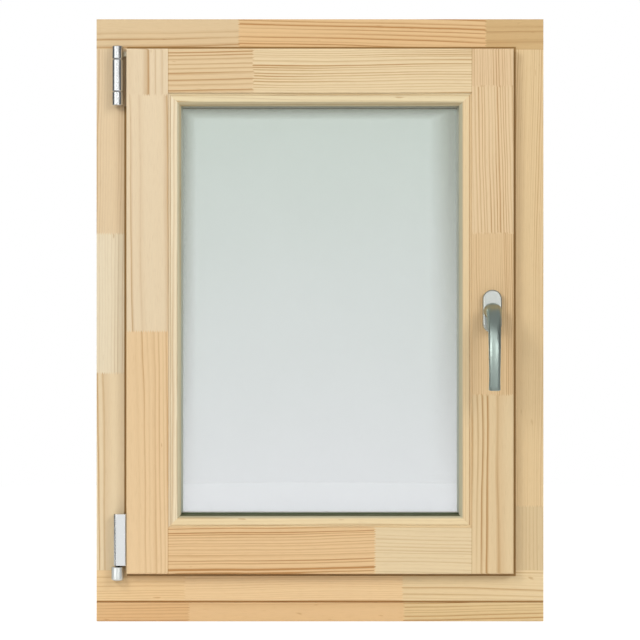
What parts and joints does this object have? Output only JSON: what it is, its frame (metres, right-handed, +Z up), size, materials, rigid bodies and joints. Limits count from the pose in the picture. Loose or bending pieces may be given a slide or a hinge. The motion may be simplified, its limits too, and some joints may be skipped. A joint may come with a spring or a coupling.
{
  "type": "wooden casement window",
  "caption": "Inward opening tilt and turn window of laminated pine in its own frame, with insulating glass, barrel hinges on the left and a lever handle on the right.",
  "frame": {"origin": "middle of the underside of the sill strip, at half the depth of the frame", "axes": "+X to the right as seen from the room, +Y to the outside, +Z up"},
  "size_m": [0.65, 0.1542, 0.876],
  "materials": {
    "pine": "planed, clear",
    "chromed_steel": "polished",
    "zinced_steel": "zinc plated",
    "satin_aluminium": "satin anodised",
    "rail_aluminium": "natural anodised",
    "clear_glass": "clear float",
    "dark_seal": "matt",
    "pale_seal": "matt",
    "grey_plastic": "moulded"
  },
  "bodies": {
    "frame": {"frame_head": "pine", "frame_left_jamb": "pine", "frame_right_jamb": "pine", "frame_sill": "pine", "sill_strip": "pine", "rain_rail": "rail_aluminium", "rain_rail_end_caps": "grey_plastic", "lap_seal": "dark_seal", "stay_bearing": "chromed_steel", "stay_pin": "chromed_steel", "corner_bearing": "zinced_steel", "corner_bearing_cap": "chromed_steel", "upper_keep": "zinced_steel", "lower_keep": "zinced_steel", "head_keep": "zinced_steel", "keep_screws": "zinced_steel"},
    "pivot": {"corner_pivot": "zinced_steel"},
    "stay": {"stay_arm": "zinced_steel", "stay_arm_pin": "zinced_steel"},
    "handle": {"handle_lever": "satin_aluminium", "spindle": "zinced_steel", "pinion": "zinced_steel"},
    "side_rod": {"drive_rod": "zinced_steel", "locking_cams": "zinced_steel"},
    "head_rod": {"top_rod": "zinced_steel", "top_cam": "zinced_steel"},
    "sash": {"sash_left_stile": "pine", "sash_right_stile": "pine", "sash_top_rail": "pine", "sash_bottom_rail": "pine", "left_bead": "pine", "right_bead": "pine", "top_bead": "pine", "bottom_bead": "pine", "inner_pane": "clear_glass", "outer_pane": "clear_glass", "spacer_bar": "rail_aluminium", "edge_seal": "dark_seal", "setting_blocks": "grey_plastic", "inner_glazing_tape": "pale_seal", "outer_glazing_tape": "pale_seal", "sash_seal": "dark_seal", "corner_hinge": "zinced_steel", "corner_hinge_cap": "chromed_steel", "corner_hinge_screws": "zinced_steel", "gearbox_case": "zinced_steel", "lock_faceplate": "chromed_steel", "corner_drive": "chromed_steel", "top_faceplate": "chromed_steel", "faceplate_screws": "zinced_steel", "stay_guide": "zinced_steel", "stay_guide_screws": "zinced_steel", "handle_base": "grey_plastic", "handle_rosette": "satin_aluminium", "handle_screws": "zinced_steel"}
  },
  "joints": [
    {"name": "sash_turn", "type": "hinge", "parent": "frame", "child": "pivot", "pos_m": [-0.2935, -0.044, 0.087], "axis": [0, 0, -1], "range_deg": [0, 100]},
    {"name": "sash_tilt", "type": "hinge", "parent": "pivot", "child": "sash", "pos_m": [-0.2935, -0.044, 0.087], "axis": [1, 0, 0], "range_deg": [0, 8]},
    {"name": "stay_swing", "type": "hinge", "parent": "pivot", "child": "stay", "pos_m": [-0.2935, -0.044, 0.8245], "axis": [0, 0, -1], "range_deg": [0, 21.3]},
    {"name": "handle_turn", "type": "hinge", "parent": "sash", "child": "handle", "pos_m": [0.249, -0.052, 0.451], "axis": [0, 1, 0], "range_deg": [0, 180]},
    {"name": "side_rod_slide", "type": "slide", "parent": "sash", "child": "side_rod", "axis": [0, 0, -1], "range_m": [0, 0.0316]},
    {"name": "head_rod_slide", "type": "slide", "parent": "sash", "child": "head_rod", "axis": [1, 0, 0], "range_m": [0, 0.0316]}
  ],
  "couplings": [
    {"joint": "stay_swing", "follows": "sash_tilt", "ratio": 2.639},
    {"joint": "side_rod_slide", "follows": "handle_turn", "m_per_rad": 0.01},
    {"joint": "head_rod_slide", "follows": "handle_turn", "m_per_rad": 0.01}
  ]
}
